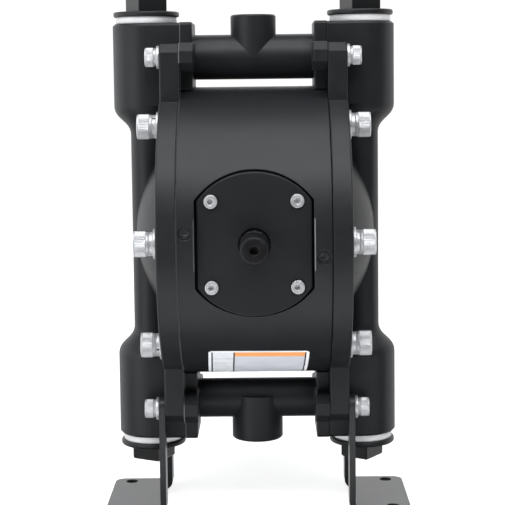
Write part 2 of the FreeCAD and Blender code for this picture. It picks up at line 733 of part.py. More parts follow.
def manifold(tube_r, boss_r, boss_sink, port_rise, thread_r):
    """Built at the top; the inlet manifold is this turned upside down."""
    plate = end_plate()
    boss_end = LINE_H + port_rise
    boss = rod_z(boss_r, LINE_H - boss_sink, boss_end)
    rim = [edge for edge in boss.Edges if edge.BoundBox.ZMin > AXIS_Z + boss_end - 0.01]
    boss = boss.makeChamfer(BOSS_EDGE, rim)
    body = fused([rod_x(tube_r, -DRUM_HALF, DRUM_HALF, 0, LINE_H), plate, to_left(plate), boss])
    groove = seal_groove()
    cuts = [
        rod_x(FLOW_R, -DRUM_HALF - 1, DRUM_HALF + 1, 0, LINE_H),
        rod_z(FLOW_R, LINE_H, boss_end),
        rod_z(thread_r, boss_end - PORT_DEPTH, boss_end + 1),
        groove,
        to_left(groove),
        rod_x(DRUM_R + DRUM_CLEAR, -DRUM_HALF - 1, DRUM_HALF + 1),
    ]
    for y in (-M6_Y, M6_Y):
        hole = rod_x(M6_R + RUN_GAP, DRUM_HALF - EAR_T - 1, DRUM_HALF + 1, y, LINE_H)
        cuts.extend([hole, to_left(hole)])
    return body.cut(cuts)


def outlet_manifold():
    return manifold(OUTLET_TUBE_R, OUTLET_BOSS_R, OUTLET_BOSS_SINK, OUTLET_PORT_RISE, OUTLET_THREAD_R)


def inlet_manifold():
    upper = manifold(INLET_TUBE_R, INLET_BOSS_R, INLET_BOSS_SINK, INLET_PORT_RISE, INLET_THREAD_R)
    return to_bottom(upper)


# Air valve and front cover

def valve_cover():
    back = POCKET_FLOOR + GASKET_T
    plate = cover_outline(0, COVER_FRONT, back)
    rim = [edge for edge in plate.Edges if edge.BoundBox.YMax < -COVER_FRONT + 0.01]
    plate = plate.makeChamfer(COVER_EDGE, rim)
    cuts = [rod(COVER_HOLE_R, at(0, -COVER_FRONT - 1, 0), Y, COVER_FRONT - back + 2)]
    for x, height in cover_screw_places():
        cuts.append(rod(M4_R + HOLE_GAP, at(x, -COVER_FRONT - 1, height), Y, COVER_FRONT - back + 2))
        cuts.append(rod(M4_HEAD_R + HOLE_GAP, at(x, -COVER_FRONT - 1, height), Y, M4_SINK + 1))
    return plate.cut(cuts)


def cover_gasket():
    front = POCKET_FLOOR + GASKET_T
    sheet = cover_outline(-GASKET_INSET, front, POCKET_FLOOR)
    opening = block(-VALVE_W / 2, VALVE_W / 2, -front - 1, 0, -VALVE_H / 2, VALVE_H / 2)
    holes = [rod(M4_R + HOLE_GAP, at(x, -front - 1, height), Y, 3) for x, height in cover_screw_places()]
    return sheet.cut([opening] + holes)


def valve_block():
    half_w = VALVE_W / 2
    half_h = VALVE_H / 2
    body = block(-half_w, half_w, -POCKET_FLOOR, -VALVE_BACK, -half_h, half_h)
    cuts = [
        rod_x(SPOOL_R + RUN_GAP, -half_w - 1, half_w + 1, -VALVE_LINE),
        rod(MUFFLER_THREAD_R + RUN_GAP, at(0, -POCKET_FLOOR - 1, 0), Y, POCKET_FLOOR - VALVE_LINE + 1),
        rod(AIR_WAY_R, at(0, -VALVE_LINE, AIR_FEED_H), Y, VALVE_LINE - VALVE_BACK + 1),
        rod(AIR_WAY_R, at(0, -VALVE_LINE, 0), Z, AIR_FEED_H),
    ]
    for side in (-1, 1):
        cuts.append(rod(AIR_WAY_R, at(side * AIR_WAY_X, -VALVE_LINE, 0), Y, VALVE_LINE - VALVE_BACK + 1))
    return body.cut(cuts)


def valve_spool():
    """Three lands and two waists; it slides along X in the valve block."""
    land = SPOOL_HALF / 5
    waist = rod_x(SPOOL_WAIST_R, -SPOOL_HALF, SPOOL_HALF, -VALVE_LINE)
    lands = [
        rod_x(SPOOL_R, -SPOOL_HALF, -3 * land, -VALVE_LINE),
        rod_x(SPOOL_R, -land, land, -VALVE_LINE),
        rod_x(SPOOL_R, 3 * land, SPOOL_HALF, -VALVE_LINE),
    ]
    return fused([waist] + lands)


def exhaust_muffler():
    """Threaded stub with a faceted collar, a round nose and a small outlet hole."""
    seat = POCKET_FLOOR + SEAT_GAP
    collar_end = COVER_FRONT + MUFFLER_COLLAR
    nose = rod(MUFFLER_R, at(0, -seat, 0), -Y, MUFFLER_TIP - seat)
    tip = [edge for edge in nose.Edges if edge.Closed and edge.BoundBox.YMax < -MUFFLER_TIP + 0.01]
    nose = nose.makeFillet(MUFFLER_ROUND, tip)
    collar = prism(MUFFLER_FACETS, MUFFLER_R + MUFFLER_COLLAR_RISE, at(0, -seat, 0), -Y, collar_end - seat)
    thread = rod(MUFFLER_THREAD_R, at(0, -seat, 0), Y, seat - VALVE_LINE - SPOOL_R - 1)
    outlet = rod(MUFFLER_HOLE_R, at(0, -MUFFLER_TIP, 0), Y, MUFFLER_HOLE_DEPTH)
    return fused([nose, collar, thread]).cut(outlet)


def pilot_plug(x, height):
    start = DRUM_R - PILOT_PLUG_SINK
    body = rod(PILOT_PLUG_R - RUN_GAP, at(x, -start, height), Y, PILOT_PLUG_LENGTH)
    return body.cut(hexagon(PILOT_PLUG_HEX, at(x, -start, height), Y, PILOT_KEY_DEPTH))


def air_inlet_bush():
    """Hexagonal bush screwed into the back of the housing; air line thread inside."""
    nut = hexagon(INLET_BUSH_HEX, at(0, AIR_FACE, 0), Y, INLET_BUSH_HEX_T)
    inner_end = AIR_FACE - INLET_BUSH_DEPTH
    thread = rod(INLET_BUSH_R - SEAT_GAP, at(0, inner_end + SEAT_GAP, 0), Y, INLET_BUSH_DEPTH)
    bore = rod(AIR_PORT_R, at(0, inner_end, 0), Y, INLET_BUSH_DEPTH + INLET_BUSH_HEX_T + 1)
    return fused([nut, thread]).cut(bore)


# Fasteners

def cap_screw(head_r, head_t, shank_r, hexagon_af, seat, direction, length):
    """Socket head cap screw. Its head stands on the point seat, against direction."""
    head = rod(head_r, seat, -direction, head_t)
    shank = rod(shank_r, seat, direction, length)
    depth = head_t * KEY_DEPTH
    socket = hexagon(hexagon_af, seat - direction * (head_t - depth), -direction, depth + 1)
    return head.fuse(shank).cut(socket)


def washer(outer, inner, start, thickness):
    body = rod(outer, start, X, thickness)
    return body.cut(rod(inner, start - X, X, thickness + 2))


def m8_screws():
    seat_x = CAP_FACE + M8_WASHER_T + LOCK_WASHER_T
    length = seat_x - DRUM_HALF + M8_GRIP
    shank = M8_R - RUN_GAP
    return [
        cap_screw(M8_HEAD_R, M8_HEAD_T, shank, M8_HEX, at(seat_x, y, height), -X, length)
        for y, height in m8_places()
    ]


def m8_washers():
    return [
        washer(M8_WASHER_R, M8_R + WASHER_GAP, at(CAP_FACE, y, height), M8_WASHER_T)
        for y, height in m8_places()
    ]


def m8_lock_washers():
    start = CAP_FACE + M8_WASHER_T
    return [
        washer(LOCK_WASHER_R, M8_R + WASHER_GAP, at(start, y, height), LOCK_WASHER_T)
        for y, height in m8_places()
    ]


def m6_face(height):
    """The lower manifold screws also clamp the foot bracket."""
    return CAP_FACE if height > 0 else CAP_FACE + SHEET_T


def m6_screws():
    screws = []
    tip_x = DRUM_HALF - EAR_T + M6_TIP_SPARE
    for y, height in m6_places():
        seat_x = m6_face(height) + M6_WASHER_T
        start = at(seat_x, y, height)
        screws.append(cap_screw(M6_HEAD_R, M6_HEAD_T, M6_R, M6_HEX, start, -X, seat_x - tip_x))
    return screws


def m6_washers():
    return [
        washer(M6_WASHER_R, M6_R + WASHER_GAP, at(m6_face(height), y, height), M6_WASHER_T)
        for y, height in m6_places()
    ]


def cover_screws():
    seat_y = COVER_FRONT - M4_SINK
    length = seat_y - POCKET_FLOOR + M4_GRIP
    shank = M4_R - RUN_GAP
    return [
        cap_screw(M4_HEAD_R, M4_HEAD_T, shank, M4_HEX, at(x, -seat_y, height), Y, length)
        for x, height in cover_screw_places()
    ]


# Foot brackets

def bracket_section(leg_end):
    """Bent sheet seen from the front, as a face in the plane y = -FOOT_HALF."""
    outer_r = BEND_R + SHEET_T
    x0 = CAP_FACE
    corner_x = x0 + outer_r
    slant = math.sqrt(0.5)

    def spot(x, z):
        return Vector(x, -FOOT_HALF, z)

    bottom = Part.Arc(
        spot(x0, outer_r),
        spot(corner_x - outer_r * slant, outer_r - outer_r * slant),
        spot(corner_x, 0),
    )
    top = Part.Arc(
        spot(corner_x, SHEET_T),
        spot(corner_x - BEND_R * slant, outer_r - BEND_R * slant),
        spot(x0 + SHEET_T, outer_r),
    )
    toe = Part.makePolygon([
        spot(corner_x, 0),
        spot(FOOT_REACH, 0),
        spot(FOOT_REACH, SHEET_T),
        spot(corner_x, SHEET_T),
    ])
    leg = Part.makePolygon([
        spot(x0 + SHEET_T, outer_r),
        spot(x0 + SHEET_T, leg_end),
        spot(x0, leg_end),
        spot(x0, outer_r),
    ])
    return Part.Face(Part.Wire([bottom.toShape()] + toe.Edges + [top.toShape()] + leg.Edges))


def foot_bracket():
    """Two legs and one foot plate from a single sheet, with a slot between the legs."""
    leg_end = GROUND_CLEAR + LEG_TOP
    round_r = LEG_WIDTH / 2
    sheet = bracket_section(leg_end).extrude(Y * 2 * FOOT_HALF)
    toe_edges = [
        edge for edge in sheet.Edges
        if edge.BoundBox.XMin > FOOT_REACH - 0.01 and edge.BoundBox.ZLength > SHEET_T / 2
    ]
    sheet = sheet.makeFillet(FOOT_CORNER_R, toe_edges)
    slot_half = M6_Y - round_r
    slot_start = Vector(CAP_FACE - 1, -slot_half, -1)
    cuts = [Part.makeBox(SLOT_REACH - CAP_FACE + 1, 2 * slot_half, leg_end + 2, slot_start)]
    for y in (-M6_Y, M6_Y):
        corner = Vector(CAP_FACE - 1, y - round_r - 1, leg_end - round_r)
        tip = Part.makeBox(SHEET_T + 2, LEG_WIDTH + 2, round_r + 1, corner)
        disc = Part.makeCylinder(round_r, SHEET_T + 2, Vector(CAP_FACE - 1, y, leg_end - round_r), X)
        cuts.append(tip.cut(disc))
        cuts.append(rod_x(M6_R + HOLE_GAP, CAP_FACE - 1, CAP_FACE + SHEET_T + 1, y, -LINE_H))
    for y in (-FOOT_HOLE_Y, FOOT_HOLE_Y):
        cuts.append(Part.makeCylinder(FOOT_HOLE_R, SHEET_T + 2, Vector(FOOT_HOLE_X, y, -1), Z))
    return sheet.cut(cuts)


def save_pair(name, shape, *more):
    """Save right_NAME and its mirror image left_NAME."""
    shapes = [shape] + list(more)
    save("right_" + name, *shapes)
    save("left_" + name, *[to_left(each) for each in shapes])


def main():
    os.makedirs("parts", exist_ok=True)

    save("centre_housing", centre_housing())
    save_pair("fluid_cap", fluid_cap())
    save("outlet_manifold", outlet_manifold())
    save("inlet_manifold", inlet_manifold())
    seals = [manifold_seal(), to_bottom(manifold_seal())]
    save("manifold_seals", *(seals + [to_left(seal) for seal in seals]))

    save_pair("diaphragm", diaphragm())
    save_pair("air_plate", air_plate())
    save_pair("fluid_plate", fluid_plate())
    save("diaphragm_shaft", diaphragm_shaft())
    save("shaft_bushes", shaft_bush(), to_left(shaft_bush()))
    save("shaft_seals", shaft_seal(), to_left(shaft_seal()))
    save("pilot_rod", pilot_rod())

    save_pair("outlet_ball", valve_ball(OUTLET_BALL_H))
    save_pair("outlet_seat", valve_seat(OUTLET_SEAT_TOP, OUTLET_SEAT_T))
    save_pair("outlet_cage", outlet_cage())
    save_pair("inlet_ball", valve_ball(INLET_BALL_H))
    save_pair("inlet_seat", valve_seat(INLET_SEAT_TOP, INLET_SEAT_T))
    save_pair("inlet_cage", inlet_cage())
    save_pair("inlet_spacer", inlet_spacer())
    for place, turn in PLUG_TURNS.items():
        plug = chamber_plug(turn) if place.startswith("right") else to_left(chamber_plug(-turn))
        save(place + "_plug", plug if place.endswith("outlet") else to_bottom(plug))
    save_pair("outlet_plug_seal", plug_seal())
    save_pair("inlet_plug_seal", to_bottom(plug_seal()))

    save("valve_cover", valve_cover())
    save("cover_gasket", cover_gasket())
    save("cover_screws", *cover_screws())
    save("valve_block", valve_block())
    save("valve_spool", valve_spool())
    save("exhaust_muffler", exhaust_muffler())
    save("pilot_plugs", pilot_plug(-PILOT_PLUG_X, PILOT_PLUG_Z), pilot_plug(PILOT_PLUG_X, -PILOT_PLUG_Z))
    save("air_inlet_bush", air_inlet_bush())

    save_pair("cap_screws", *m8_screws())
    save_pair("cap_washers", *m8_washers())
    save_pair("cap_lock_washers", *m8_lock_washers())
    save_pair("manifold_screws", *m6_screws())
    save_pair("manifold_washers", *m6_washers())
    save_pair("foot_bracket", foot_bracket())


main()
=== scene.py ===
import json
import math
import random

import bmesh
import bpy
from mathutils import Matrix, Vector


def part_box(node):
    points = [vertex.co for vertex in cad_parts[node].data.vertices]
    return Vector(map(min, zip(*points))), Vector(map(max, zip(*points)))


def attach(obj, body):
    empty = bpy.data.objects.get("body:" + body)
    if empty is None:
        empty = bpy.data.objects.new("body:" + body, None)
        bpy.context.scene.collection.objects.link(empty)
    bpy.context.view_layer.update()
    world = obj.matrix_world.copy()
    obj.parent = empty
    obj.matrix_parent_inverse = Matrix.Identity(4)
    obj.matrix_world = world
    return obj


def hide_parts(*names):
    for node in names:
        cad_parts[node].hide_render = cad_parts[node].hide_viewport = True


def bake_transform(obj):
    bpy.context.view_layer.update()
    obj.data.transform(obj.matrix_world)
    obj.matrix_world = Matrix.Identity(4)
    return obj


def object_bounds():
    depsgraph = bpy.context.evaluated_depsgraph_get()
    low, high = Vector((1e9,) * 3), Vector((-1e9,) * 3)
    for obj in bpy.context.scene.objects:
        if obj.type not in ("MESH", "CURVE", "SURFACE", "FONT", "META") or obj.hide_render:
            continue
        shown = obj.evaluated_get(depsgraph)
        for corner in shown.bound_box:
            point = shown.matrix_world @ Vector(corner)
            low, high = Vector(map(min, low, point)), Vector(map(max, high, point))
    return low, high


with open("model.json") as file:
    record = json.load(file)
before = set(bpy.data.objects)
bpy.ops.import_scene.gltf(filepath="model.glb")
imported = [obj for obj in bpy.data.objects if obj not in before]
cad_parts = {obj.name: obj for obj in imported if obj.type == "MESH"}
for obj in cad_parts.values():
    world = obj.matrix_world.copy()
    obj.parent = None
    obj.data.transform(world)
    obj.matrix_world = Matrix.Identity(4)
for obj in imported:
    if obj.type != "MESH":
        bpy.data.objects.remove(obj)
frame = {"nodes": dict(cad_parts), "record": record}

# An air-operated double diaphragm pump in a plain studio. Metres, +Z up, the cover faces -Y.

cad_low, cad_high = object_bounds()
SIDES = ("left", "right")
FRONT = Vector((0.0, -1.0, 0.0))
UP = Vector((0.0, 0.0, 1.0))
MM = 0.001

# The photograph's viewpoint. The lens and the sensor are in mm
CAMERA_PLACE = (0.006325, -0.773536, 0.235234)
CAMERA_YAW = math.radians(-0.575)
CAMERA_PITCH = math.radians(-5.141)
CAMERA_ROLL = math.radians(-0.669)
CAMERA_LENS = 101.425
CAMERA_SENSOR = 36.0
CAMERA_SHIFT_Y = -0.10
CAMERA_REACH = (0.01, 50.0)


# Shader maths

BEVEL_SAMPLES = 6
# The sockets of a Mix node that carry colours: others have the same names
MIX_FIRST = 6
MIX_SECOND = 7
MIX_RESULT = 2


class Wire:
    """One output of a node. Arithmetic on it adds Math nodes to its finish."""

    def __init__(self, finish, socket):
        self.finish = finish
        self.socket = socket

    def math(self, operation, first, second):
        return self.finish.node("Math", {"operation": operation}, {0: first, 1: second})

    def __add__(self, other):
        return self.math("ADD", self, other)

    def __radd__(self, other):
        return self.math("ADD", other, self)

    def __sub__(self, other):
        return self.math("SUBTRACT", self, other)

    def __rsub__(self, other):
        return self.math("SUBTRACT", other, self)

    def __mul__(self, other):
        return self.math("MULTIPLY", self, other)

    def __rmul__(self, other):
        return self.math("MULTIPLY", other, self)

    def __pow__(self, other):
        return self.math("POWER", self, other)

    def between(self, low, high, to_low=0.0, to_high=1.0):
        """This value taken from low..high to to_low..to_high, smoothly and held at the ends."""
        settings = {"interpolation_type": "SMOOTHSTEP"}
        values = {"Value": self, "From Min": low, "From Max": high, "To Min": to_low, "To Max": to_high}
        return self.finish.node("MapRange", settings, values)

    def within(self, start, end, soft=0.08):
        """1 from start to end, and 0 outside, with soft ends."""
        inner = self.between(start - soft, start + soft)
        return inner * (1 - self.between(end - soft, end + soft))


class Finish:
    """The nodes of one material, with the shader that they end in."""

    def __init__(self, name):
        self.material = bpy.data.materials.new(name)
        self.material.use_nodes = True
        self.tree = self.material.node_tree
        self.tree.nodes.clear()

    def node(self, kind, settings=None, values=None, out=0):
        """Add a node: its settings first, then values or links for its sockets."""
        made = self.tree.nodes.new("ShaderNode" + kind)
        for key, value in (settings or {}).items():
            setattr(made, key, value)
        for key, value in (values or {}).items():
            self.feed(made.inputs[key], value)
        return Wire(self, made.outputs[out])

    def feed(self, socket, value):
        if isinstance(value, Wire):
            self.tree.links.new(value.socket, socket)
        elif isinstance(value, tuple) and socket.type == "RGBA":
            socket.default_value = value + (1.0,)
        else:
            socket.default_value = value

    def pick(self, wire, part):
        """Another output of the node that a wire comes from."""
        return Wire(self, wire.socket.node.outputs[part])

    def place(self):
        """Object coordinates, in metres in the pump's frame."""
        return self.node("TexCoord", out="Object")

    def noise(self, size, detail, rough, where=None):
        """Noise whose blotches are about this size in metres; about 0..1, 0.5 in the middle."""
        values = {"Vector": where or self.place(), "Scale": 1 / size, "Detail": detail, "Roughness": rough}
        return self.node("TexNoise", None, values)

    def stretched(self, scale):
        """The place with each axis scaled, for a grain that runs one way."""
        return self.node("VectorMath", {"operation": "MULTIPLY"}, {0: self.place(), 1: scale})

    def mix(self, share, first, second):
        """Colours mixed by a share that changes over the surface."""
        values = {"Factor": share, MIX_FIRST: first, MIX_SECOND: second}
        return self.node("Mix", {"data_type": "RGBA"}, values, out=MIX_RESULT)

    def rounded(self, radius):
        """The normal as if the edges were rounded."""
        return self.node("Bevel", {"samples": BEVEL_SAMPLES}, {"Radius": radius})

    def edge(self, normal, low, high):
        """How much the rounded normal turns from the true one: 0 on a flat, 1 at an edge."""
        true = self.node("NewGeometry", out="True Normal")
        along = self.node("VectorMath", {"operation": "DOT_PRODUCT"}, {0: normal, 1: true}, out="Value")
        return (1 - along).between(low, high)

    def bump(self, height, depth, normal=None):
        """A bump whose height 0..1 is depth metres."""
        values = {"Height": height, "Distance": depth, "Strength": 1.0}
        if normal is not None:
            values["Normal"] = normal
        return self.node("Bump", None, values)

    def surface(self, **sockets):
        """The Principled shader; sockets are named with _ for a space."""
        values = {key.replace("_", " "): value for key, value in sockets.items()}
        shader = self.node("BsdfPrincipled", None, values)
        output = self.tree.nodes.new("ShaderNodeOutputMaterial")
        self.tree.links.new(shader.socket, output.inputs["Surface"])
        return self.material


# Finishes

PAINTED_HIGHLIGHT = (0.20, 0.205, 0.215)     # painted highlight: a paler colour that stands in for light caught on the plastic
WORN_AND_LIT_EDGE = 3.0                        # an edge is this many times as pale: partly rubbed wear, partly a painted highlight
CHIPPED = (0.30, 0.30, 0.31)        # metal that shows through paint
RUBBER_BLACK = (0.018, 0.018, 0.018)
RUBBER_BLOOM = (0.045, 0.044, 0.043)

# Painted highlight lines on the centre housing, in mm
LINE_WIDTH = 0.55
RIM_START = -0.05           # of the rim's line, from the drum's left end
RIM_DEPTH = (1.2, 0.6)      # it starts this far inside the drum's face, and is full here
RIM_HIGHLIGHT_SHARE = 0.6             # of the full painted highlight
LIP_GAP = 0.95              # from the cover's side to the lip of its pocket
LIP_HALF = 13.5             # half the length of a lip
LIP_DEPTH = (3.0, 4.0)      # the lips end this far behind the drum's front line
LEFT_LIP_HIGHLIGHT_SHARE = 0.25       # the left lip gets a weaker painted highlight than the right one


def painted_highlight_lines(finish):
    """1 where a painted highlight goes: on the drum's rim at its left joint and on the pocket's lips
    beside the cover.

    The rim's line has no outer end, so it falls on the manifolds' left flanges too.
    """
    low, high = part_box("centre_housing")
    cover_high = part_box("valve_cover")[1]
    rim = low.x / MM
    axis_height = (low.z + high.z) / 2 / MM
    radius = (high.z - low.z) / 2 / MM
    lip = cover_high.x / MM + LIP_GAP
    parts = finish.node("SeparateXYZ", None, {0: finish.place()})
    x = finish.pick(parts, "X") * (1 / MM)
    y = finish.pick(parts, "Y") * (1 / MM)
    height = finish.pick(parts, "Z") * (1 / MM) - axis_height
    out = (y * y + height * height) ** 0.5
    at_rim = x.within(rim + RIM_START, rim + LINE_WIDTH)
    on_face = out.between(radius - RIM_DEPTH[0], radius - RIM_DEPTH[1])
    front = 1 - y.between(LIP_DEPTH[0] - radius, LIP_DEPTH[1] - radius)
    middle = 1 - (height * height).between((LIP_HALF - 1) ** 2, LIP_HALF ** 2)
    right_lip = x.within(lip, lip + LINE_WIDTH)
    left_lip = (-1 * x).within(lip, lip + LINE_WIDTH)
    lips = right_lip + left_lip * LEFT_LIP_HIGHLIGHT_SHARE
    return at_rim * on_face * RIM_HIGHLIGHT_SHARE + lips * middle * front


def moulded_plastic(
    name, colour, pale, roughness, grain=0.00002, edge_wear_and_highlight=0.5, specular=0.5, lines=None
):
    """Matt moulded plastic: fine grain, faint flow marks, edges a little paler from rubbed wear and a
    painted highlight.

    Lines, where given, is a function that says where a painted highlight goes on the plastic.
    """
    finish = Finish(name)
    normal = finish.rounded(0.0006)
    edge_share = finish.edge(normal, 0.02, 0.20)
    flow = finish.noise(0.030, 3.0, 0.55)
    mottle = finish.noise(0.006, 2.0, 0.6)
    fine = finish.noise(0.00045, 2.0, 0.6)
    # Paler edges: partly rubbed wear, partly a painted highlight where light would catch them
    wear_and_highlight = edge_share * edge_wear_and_highlight * finish.noise(0.004, 3.0, 0.7).between(0.35, 0.65)
    blotch = flow * 0.6 + mottle * 0.4
    base = finish.mix(blotch.between(0.35, 0.65), colour, pale)
    base = finish.mix(wear_and_highlight, base, tuple(WORN_AND_LIT_EDGE * part for part in pale))
    if lines:
        # Painted highlight: the rim and the lips are made paler where light would catch them
        highlight_share = lines(finish) * flow.between(0.2, 0.5, 0.7, 1.0)
        base = finish.mix(highlight_share, base, PAINTED_HIGHLIGHT)
    return finish.surface(
        Base_Color=base,
        Roughness=roughness + (mottle - 0.5) * 0.10 - wear_and_highlight * 0.10,
        Specular_IOR_Level=specular,
        Normal=finish.bump(fine, grain, normal),
    )


def satin_paint(name, colour, pale):
    """Satin coating on bent sheet, with the faint orange peel that such paint has."""
    finish = Finish(name)
    normal = finish.rounded(0.0005)
    edge_share = finish.edge(normal, 0.02, 0.20)
    peel = finish.noise(0.0014, 2.0, 0.5)
    cloud = finish.noise(0.020, 3.0, 0.5)
    chips = edge_share * finish.noise(0.003, 3.0, 0.7).between(0.55, 0.70)
    base = finish.mix(cloud.between(0.35, 0.65), colour, pale)
    return finish.surface(
        Base_Color=finish.mix(chips * 0.7, base, CHIPPED),
        Roughness=0.38 + (cloud - 0.5) * 0.08,
        Specular_IOR_Level=0.5,
        Normal=finish.bump(peel, 0.00002, normal),
    )


def steel(name, colour, dark, roughness, grain=(1.0, 1.0, 1.0), metallic=1.0):
    """Bright steel with a fine grain, a little duller in patches and darker in the hollows."""
    finish = Finish(name)
    normal = finish.rounded(0.00015)
    lines = finish.noise(0.0006, 3.0, 0.7, finish.stretched(grain))
    patch = finish.noise(0.004, 2.0, 0.5)
    share = (lines * 0.5 + patch * 0.5).between(0.38, 0.62)
    return finish.surface(
        Base_Color=finish.mix(share, dark, colour),
        Metallic=metallic,
        Roughness=roughness + (lines - 0.5) * 0.16,
        Normal=finish.bump(lines, 0.000004, normal),
    )


def waxy_plastic(name, colour, shade, roughness, subsurface=0.0):
    """Smooth white or natural plastic with a waxy sheen and faint handling marks."""
    finish = Finish(name)
    normal = finish.rounded(0.0004)
    cloud = finish.noise(0.008, 3.0, 0.6)
    marks = finish.noise(0.0015, 3.0, 0.7, finish.stretched((1.0, 1.0, 3.0)))
    return finish.surface(
        Base_Color=finish.mix(cloud.between(0.40, 0.70), colour, shade),
        Roughness=roughness + (marks - 0.5) * 0.15,
        Subsurface_Weight=subsurface,
        Subsurface_Scale=0.002,
        Subsurface_Radius=(1.0, 0.95, 0.9),
        Normal=finish.bump(marks, 0.00001, normal),
    )


def rubber(name):
    """Matt black rubber with a fine dusty bloom."""
    finish = Finish(name)
    bloom = finish.noise(0.004, 4.0, 0.6)
    fine = finish.noise(0.0004, 2.0, 0.6)
    return finish.surface(
        Base_Color=finish.mix(bloom.between(0.40, 0.70), RUBBER_BLACK, RUBBER_BLOOM),
        Roughness=0.72 + (bloom - 0.5) * 0.15,
        Specular_IOR_Level=0.3,
        Normal=finish.bump(fine, 0.00003, finish.rounded(0.0005)),
    )


# One for each material slot in the record
FINISHES = {
    "charcoal_plastic": moulded_plastic(
        "charcoal plastic", (0.0085, 0.0095, 0.0115), (0.0115, 0.0125, 0.0145), 0.48,
        lines=painted_highlight_lines,
    ),
    "plug_plastic": moulded_plastic(
        "plug plastic", (0.0085, 0.009, 0.0095), (0.011, 0.0115, 0.0125), 0.44,
    ),
    "cover_plastic": moulded_plastic(
        "cover plastic", (0.0075, 0.008, 0.0095), (0.0095, 0.010, 0.0115), 0.55,
        # the cover's edges get a stronger painted highlight
        edge_wear_and_highlight=0.8,
    ),
    "muffler_plastic": moulded_plastic(
        "muffler plastic", (0.003, 0.003, 0.0035), (0.008, 0.008, 0.009), 0.50,
        grain=0.00010, edge_wear_and_highlight=0.2, specular=0.35,
    ),
    "pilot_plug_steel": steel(
        "blackened steel", (0.32, 0.32, 0.33), (0.13, 0.13, 0.135), 0.36,
    ),
    "white_ptfe": waxy_plastic(
        "white ptfe", (0.76, 0.76, 0.76), (0.70, 0.70, 0.71), 0.42, subsurface=0.2,
    ),
    "natural_acetal": waxy_plastic(
        "natural acetal", (0.76, 0.75, 0.71), (0.66, 0.65, 0.61), 0.35, subsurface=0.1,
    ),
    "stainless_screws": steel(
        "stainless", (0.82, 0.82, 0.83), (0.66, 0.66, 0.67), 0.43, metallic=0.7,
    ),
    "ground_steel": steel(
        "ground steel", (0.62, 0.63, 0.65), (0.50, 0.51, 0.53), 0.25, grain=(0.15, 1.0, 1.0),
    ),
    "plate_aluminium": steel(
        "machined aluminium", (0.72, 0.73, 0.75), (0.60, 0.61, 0.63), 0.38,
    ),
    "black_rubber": rubber("black rubber"),
    "inlet_brass": steel(
        "turned brass", (0.72, 0.52, 0.25), (0.58, 0.40, 0.18), 0.32,
    ),
    "bracket_paint": satin_paint(
        "satin black coating", (0.022, 0.023, 0.025), (0.028, 0.029, 0.031),
    ),
}


def dress_frame():
    """Give each CAD node the finish of its slot in the record."""
    for part in frame["record"]["subparts"]:
        node = frame["nodes"][part["node"]]
        for holder in node.material_slots:
            holder.material = FINISHES[part["material_slot"]]


dress_frame()


# Faces that meet at less than these angles, in degrees, look smooth
SMOOTH_RUBBER = 30.0
SMOOTH_SCREW = 24.0
SMOOTH_WASHER = 40.0
SMOOTH_RING = 60.0
SMOOTH_MUFFLER = 26.0
SMOOTH_LABEL = 40.0


# Turned pieces

TURN_STEPS = 192            # points round a turned piece
CORNER_STEPS = 3            # points in a rounded corner of its profile
CORNER_LIMIT = 0.45         # a rounded corner takes at most this share of a side
SAME_POINT = 0.005 * MM     # points this close in a CAD mesh belong to one solid


def solids_of(node):
    """The lowest and highest corners of each separate solid in a CAD node."""
    build = bmesh.new()
    build.from_mesh(frame["nodes"][node].data)
    bmesh.ops.remove_doubles(build, verts=build.verts, dist=SAME_POINT)
    waiting = set(build.verts)
    boxes = []
    while waiting:
        group = [waiting.pop()]
        reached = []
        while group:
            vert = group.pop()
            reached.append(tuple(vert.co))
            for edge in vert.link_edges:
                other = edge.other_vert(vert)
                if other in waiting:
                    waiting.remove(other)
                    group.append(other)
        boxes.append((Vector(tuple(map(min, *reached))), Vector(tuple(map(max, *reached)))))
    build.free()
    return sorted(boxes, key=lambda box: [round(part, 6) for part in box[0]])


def length_along(box, outward):
    """The solid's length along the outward axis."""
    return abs((box[1] - box[0]).dot(outward))


def radius_across(box, outward):
    """Half the solid's width across the outward axis."""
    widths = [width for width, part in zip(box[1] - box[0], outward) if abs(part) < 0.5]
    return max(widths) / 2


def stand(box, outward, back=0.0):
    """A place on the solid's axis with +Z outward, this far back from its outer end."""
    reach = length_along(box, outward) / 2 - back
    middle = (box[0] + box[1]) / 2 + outward * reach
    return Matrix.Translation(middle) @ outward.to_track_quat("Z", "Y").to_matrix().to_4x4()


def circle(radius):
    """An outline: the distance from the axis at each angle."""
    return lambda angle: radius


def faceted(flat, count):
    """So many flats, each this far from the axis."""
    part = math.tau / count
    return lambda angle: flat / math.cos(angle % part - part / 2)


def hexagon(across_flats):
    return faceted(across_flats / 2, 6)


def knurled(radius, depth, teeth):
    """Straight knurl: narrow grooves between rounded teeth."""
    return lambda angle: radius - depth * abs(math.sin(angle * teeth / 2)) ** 3


def turned(build, rings, place, closed=False):
    """Skin rings of (height, outline) round the +Z axis of a place.

    None as an outline is a point on the axis. A closed skin ends where it starts.
    """
    rows = []
    for height, outline in rings:
        if outline is None:
            rows.append([build.verts.new(place @ Vector((0.0, 0.0, height)))])
            continue
        row = []
        for step in range(TURN_STEPS):
            angle = math.tau * step / TURN_STEPS
            reach = outline(angle)
            corner = Vector((reach * math.cos(angle), reach * math.sin(angle), height))
            row.append(build.verts.new(place @ corner))
        rows.append(row)
    if closed:
        rows.append(rows[0])
    for near, far in zip(rows, rows[1:]):
        for step in range(TURN_STEPS):
            after = (step + 1) % TURN_STEPS
            corners = [near[step % len(near)], near[after % len(near)]]
            corners += [far[after % len(far)], far[step % len(far)]]
            build.faces.new(list(dict.fromkeys(corners)))


